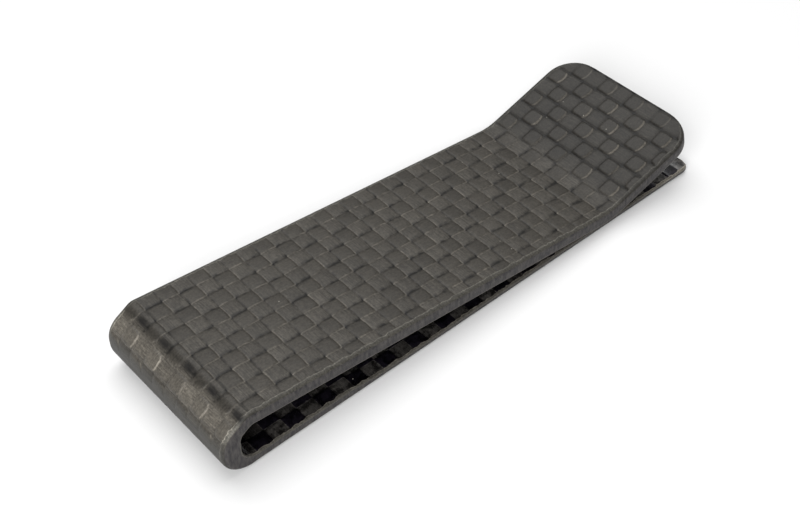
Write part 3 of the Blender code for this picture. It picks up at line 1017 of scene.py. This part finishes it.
def weave_material(name, crosswise, lengthwise, sanded, gloss, specular, streak, bump, patchy):
    """Woven laminate. The gains of streaks, painted light and shade at the seams, painted shine and
    valley shade, stored painted light and shade with the resin lines, and pooled resin multiply the
    tile colour; the rubbed rim and the grain go over it."""
    material, tree, shader = new_material(name)
    at = read_weave(tree)
    fibre = filaments(tree, at)
    pools = add(tree, NOISE, Vector=at["weave"], Scale=1.9, Detail=4.0, Roughness=0.65)
    limits = {"From_Min": 0.40, "From_Max": 0.56}
    limits |= {"To_Min": 1 - 0.75 * patchy, "To_Max": 1 + 0.25 * patchy}
    pool_gain = add(tree, RANGE, Value=pools.outputs["Fac"], **limits).outputs[0]
    gain = fibre_gain(tree, at, fibre, streak)
    for factor in (seam_light_and_shade_gain(tree, at), shine_and_valley_shade_gain(tree, at), at["tone"], pool_gain):
        gain = add(tree, MATH, {"operation": "MULTIPLY"}, i0=gain, i1=factor).outputs[0]
    base = tile_colour(tree, at, crosswise, lengthwise)
    woven = add(tree, "ShaderNodeVectorMath", SCALE, i0=base, Scale=gain).outputs[0]
    rubbed, worn = rub(tree, at, woven, sanded)
    tree.links.new(grain(tree, at, rubbed), shader.inputs["Base Color"])
    gloss_range = {"To_Min": gloss - 0.06, "To_Max": gloss + 0.06}
    rough_tile = add(tree, RANGE, Value=fibre, **gloss_range).outputs[0]
    rough = add(tree, "ShaderNodeMix", Factor=worn, i2=rough_tile, i3=0.48).outputs[0]
    tree.links.new(rough, shader.inputs["Roughness"])
    relief = add(tree, "ShaderNodeBump", Height=fibre, Strength=bump, Distance=FILAMENT_RELIEF).outputs[0]
    tree.links.new(relief, shader.inputs["Normal"])
    shader.inputs["IOR"].default_value = 1.5
    shader.inputs["Specular IOR Level"].default_value = specular
    return material


print("filament relief:", round(FILAMENT_RELIEF / MM, 3), "mm")

# %% Woven face and slot lining
# Carbon plain weave, moulded, then rubbed with abrasive paper. The eye gets a warm dark grey satin,
# crosswise tiles a shade lighter and streaked, lengthwise ones smoother, with dark seams behind
# them. The lighter crosswise colour is a painted sheen, and the dark seams are painted shade. Real
# filaments are 0.007 mm thick: the streaks are drawn about 0.15 mm apart, because finer ones could
# not be seen.
satin = weave_material(
    "carbon plain weave, rubbed satin",
    crosswise="#3d3a35",
    lengthwise="#36332e",
    sanded="#403e39",
    gloss=0.42,
    specular=0.22,
    streak=0.40,
    bump=0.9,
    patchy=0.0,
)
# Carbon plain weave, cured against a polished former and never rubbed. The eye gets a black gloss,
# in which the crosswise tiles catch the light as ragged grey squares, because the resin pooled
# unevenly over them.
lining = weave_material(
    "carbon plain weave, moulded gloss",
    crosswise="#33312f",
    lengthwise="#0e0c11",
    sanded="#45423c",
    gloss=0.16,
    specular=0.45,
    streak=0.35,
    bump=0.4,
    patchy=1.0,
)
print("woven materials:", satin.name, "and", lining.name)

# %% [markdown]
# ## Cut edge
# The strip was sawn from a wider moulding and its edges were sanded across the plies. That leaves
# a dull grey face with fine marks up and down it, and a darker line of resin between plies. The
# marks could be cut into the mesh, but they are far thinner than a ply, so the material draws
# them, and only the groove at each resin line is real relief.


# %% Cut edge
def edge_material():
    """Carbon laminate, sawn and sanded across the plies: the eye gets a dull, slightly violet grey
    with fine upright marks. Real sanding marks are about 0.05 mm apart, and these are drawn about
    0.3 mm apart, because finer ones could not be seen."""
    material, tree, shader = new_material("carbon laminate, sanded cut edge")
    here = add(tree, "ShaderNodeTexCoord").outputs["Object"]
    stretched = add(tree, "ShaderNodeMapping", Vector=here, Scale=(3000.0, 3000.0, 900.0)).outputs[0]
    marks = add(tree, NOISE, Vector=stretched, Scale=1.0, Detail=3.0).outputs["Fac"]
    ramp = add(tree, RANGE, Value=marks, From_Min=0.3, From_Max=0.7).outputs[0]
    greys = {"i6": to_linear("#262427"), "i7": to_linear("#4b4846")}
    colour = add(tree, "ShaderNodeMix", COLOUR_MIX, Factor=ramp, **greys).outputs[2]
    weave = add(tree, "ShaderNodeAttribute", {"attribute_name": "weave"}).outputs["Vector"]
    tone = add(tree, "ShaderNodeSeparateXYZ", Vector=weave).outputs[2]
    lined = add(tree, "ShaderNodeVectorMath", SCALE, i0=colour, Scale=tone).outputs[0]
    tree.links.new(lined, shader.inputs["Base Color"])
    shader.inputs["Roughness"].default_value = 0.5
    shader.inputs["IOR"].default_value = 1.5
    shader.inputs["Specular IOR Level"].default_value = 0.25
    return material


FINISHES = {"woven_face": satin, "slot_lining": lining, "laminate_core": edge_material()}
for slot, obj in built:
    obj.data.materials.append(FINISHES[slot])
print("pieces with a cut edge:", sum(slot == "laminate_core" for slot, _ in built))

# %% [markdown]
# ## Floor
# The clip lies on white paper. A curved sweep is usual in a studio, but at this viewing angle a
# flat sheet fills the frame. It lies a hair below the clip so that the two faces don't flicker.

# %% Floor
REACH, FLOOR_Z = 1.2, -0.00002
bpy.context.scene.view_settings.view_transform = "Standard"
floor_corners = [(x * REACH, y * REACH, FLOOR_Z) for x, y in ((-1, -1), (1, -1), (1, 1), (-1, 1))]
floor_mesh = bpy.data.meshes.new("floor")
floor_mesh.from_pydata(floor_corners, [], [(0, 1, 2, 3)])
floor = bpy.data.objects.new("floor", floor_mesh)
bpy.context.scene.collection.objects.link(floor)
# White paper, uncoated: the eye gets an even matt white, without any highlight.
paper, _, paper_shader = new_material("white paper sweep")
paper_shader.inputs["Base Color"].default_value = to_linear("#e0e0e0")
paper_shader.inputs["Roughness"].default_value = 0.9
paper_shader.inputs["Specular IOR Level"].default_value = 0.0
floor_mesh.materials.append(paper)
print("floor:", 2 * REACH, "m square")

# %% [markdown]
# ## Light
# A wide soft light hangs high and a little behind the clip, so its shadow spreads towards the
# viewer. A smaller one from the left picks out the bend. A low light from behind would glare on
# the satin leaf and hide the weave. An even white world fills the shadows.

# %% Light
world = bpy.data.worlds.new("studio")
bpy.context.scene.world = world
world.use_nodes = True
world.node_tree.nodes["Background"].inputs["Color"].default_value = (1.0, 1.0, 1.0, 1.0)
world.node_tree.nodes["Background"].inputs["Strength"].default_value = 0.32


def soft_box(name, place, size, power):
    """A square area light at a place, turned to face the clip."""
    light = bpy.data.lights.new(name, "AREA")
    light.size = size
    light.energy = power
    obj = bpy.data.objects.new(name, light)
    obj.location = place
    obj.rotation_euler = (-Vector(place)).to_track_quat("-Z", "Y").to_euler()
    bpy.context.scene.collection.objects.link(obj)


soft_box("key softbox", (-0.38, -0.22, 0.30), 0.26, 2.6)
soft_box("top softbox", (0.09, 0.20, 0.55), 0.60, 3.2)

# %% [markdown]
# ## Camera
# The camera looks along the clip and down at about 45 degrees, from close by. Its place follows
# from three angles, a distance and the point that it looks at, which are easier to judge than a
# position and a rotation would be.

# %% Camera
AZIMUTH, ELEVATION, ROLL = (math.radians(angle) for angle in (-41.937, 45.04, 0.393))
TARGET = Vector((-5.4527, -1.7978, 4.0)) * MM
DISTANCE = 151.2645 * MM
SENSOR = 36.0
FOCAL_SHARE = 1270.8 / 800  # focal length over sensor width
level = math.cos(ELEVATION)
back = Vector((math.sin(AZIMUTH) * level, -math.cos(AZIMUTH) * level, math.sin(ELEVATION)))
right = Vector((math.cos(AZIMUTH), math.sin(AZIMUTH), 0))
up = back.cross(right)
right, up = (
    right * math.cos(ROLL) + up * math.sin(ROLL),
    up * math.cos(ROLL) - right * math.sin(ROLL),
)
place = TARGET + back * DISTANCE
camera_data = bpy.data.cameras.new("camera")
camera_data.sensor_width = SENSOR
camera_data.lens = SENSOR * FOCAL_SHARE
camera_data.clip_start = 0.01
camera = bpy.data.objects.new("camera", camera_data)
rows = [(right[i], up[i], back[i], place[i]) for i in range(3)]
camera.matrix_world = Matrix((*rows, (0, 0, 0, 1)))
bpy.context.scene.collection.objects.link(camera)
bpy.context.scene.camera = camera
print("camera:", round(camera_data.lens, 2), "mm lens at", [round(c, 4) for c in place])
